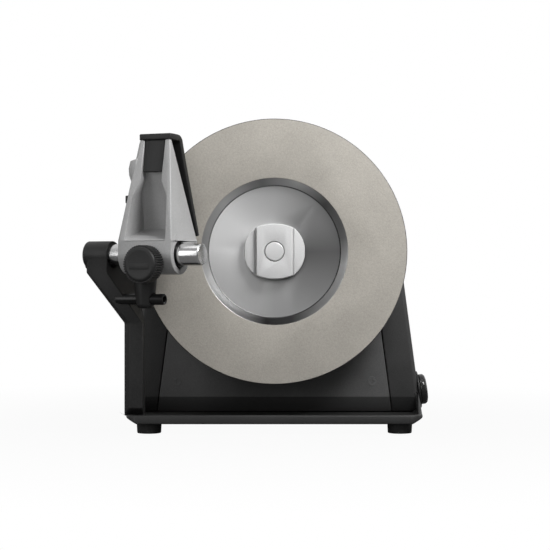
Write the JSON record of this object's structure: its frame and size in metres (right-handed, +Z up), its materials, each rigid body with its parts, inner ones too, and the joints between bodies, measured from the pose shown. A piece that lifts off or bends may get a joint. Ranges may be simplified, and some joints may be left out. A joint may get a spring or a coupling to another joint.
{
  "type": "bench sharpener",
  "caption": "Bench knife sharpener with a coated steel wheel, a honing wheel behind, a tray base and a sliding cast knife guide on an angled bar.",
  "frame": {"origin": "on the floor plane, under the middle of the machine's bounding box", "axes": "+Z up, +Y along the spindle from the coated wheel to the honing wheel, +X to the right seen from the coated wheel"},
  "size_m": [0.2622, 0.2659, 0.234],
  "materials": {
    "black_casting": "black textured paint",
    "black_housing": "black fine-textured plastic",
    "cover_plastic": "black satin plastic",
    "rubber": "black rubber",
    "steel": "turned steel",
    "polished_steel": "polished steel",
    "black_rod": "blackened steel",
    "diamond": "sandy coated grit",
    "guide_casting": "blasted light grey die casting",
    "grip_plastic": "black moulded plastic",
    "lock_plastic": "light grey moulded plastic",
    "switch_plastic": "glossy black plastic",
    "bronze": "plain bearing bronze",
    "drive_plastic": "dark moulded plastic",
    "honing_compound": "brown honing composite",
    "motor_metal": "grey enamelled steel",
    "copper": "enamelled copper wire"
  },
  "bodies": {
    "machine": {"base_tray": "black_casting", "housing": "black_housing", "wheel_side_cover": "cover_plastic", "cover_screws": "black_rod", "support_arm": "black_casting", "arm_screws": "black_rod", "foot_front_left": "rubber", "foot_front_right": "rubber", "foot_rear_left": "rubber", "foot_rear_right": "rubber", "foot_screws": "steel", "front_bush": "bronze", "rear_bush": "bronze", "cable_gland": "grip_plastic", "switch_bezel": "grip_plastic", "guide_bar": "polished_steel", "guide_rod": "black_rod", "motor_case": "motor_metal", "stator_core": "steel", "stator_winding": "copper"},
    "spindle": {"main_shaft": "steel", "wheel_core": "steel", "diamond_ring": "diamond", "wheel_flange": "steel", "drive_wheel": "drive_plastic", "drive_ring": "rubber", "honing_core": "drive_plastic", "honing_tyre": "honing_compound", "honing_washer": "steel", "honing_nut": "steel"},
    "motor_rotor": {"motor_shaft": "steel", "rotor_core": "steel", "motor_fan": "drive_plastic", "drive_roller": "steel"},
    "wheel_lock": {"wheel_lock_knob": "lock_plastic"},
    "knife_guide": {"guide_tower": "guide_casting", "blade_clip": "grip_plastic", "guide_leg": "grip_plastic", "bar_bush_left": "grip_plastic", "bar_bush_right": "grip_plastic", "stop_pad": "grip_plastic"},
    "clamp": {"clamp_knob": "grip_plastic"},
    "switch": {"switch_knob": "switch_plastic"}
  },
  "joints": [
    {"name": "spindle_spin", "type": "hinge", "parent": "machine", "child": "spindle", "pos_m": [0.01, 0, 0.134], "axis": [0, 1, 0], "continuous": true},
    {"name": "rotor_spin", "type": "hinge", "parent": "machine", "child": "motor_rotor", "pos_m": [0.034, 0, 0.05947], "axis": [0, 1, 0], "continuous": true},
    {"name": "wheel_lock_turn", "type": "hinge", "parent": "spindle", "child": "wheel_lock", "pos_m": [0.01, -0.055, 0.134], "axis": [0, 1, 0], "range_deg": [0, 90]},
    {"name": "guide_slide", "type": "slide", "parent": "machine", "child": "knife_guide", "axis": [0.9063, -0.4226, 0], "range_m": [-0.003, 0.008]},
    {"name": "clamp_turn", "type": "hinge", "parent": "knife_guide", "child": "clamp", "pos_m": [-0.08333, -0.12189, 0.124], "axis": [-0.4226, -0.9063, 0], "range_deg": [0, 180]},
    {"name": "switch_turn", "type": "hinge", "parent": "machine", "child": "switch", "pos_m": [0.12239, 0.0005, 0.026], "axis": [0.9912, 0, 0.1323], "range_deg": [0, 90]}
  ],
  "couplings": [
    {"joint": "rotor_spin", "follows": "spindle_spin", "ratio": -12}
  ]
}
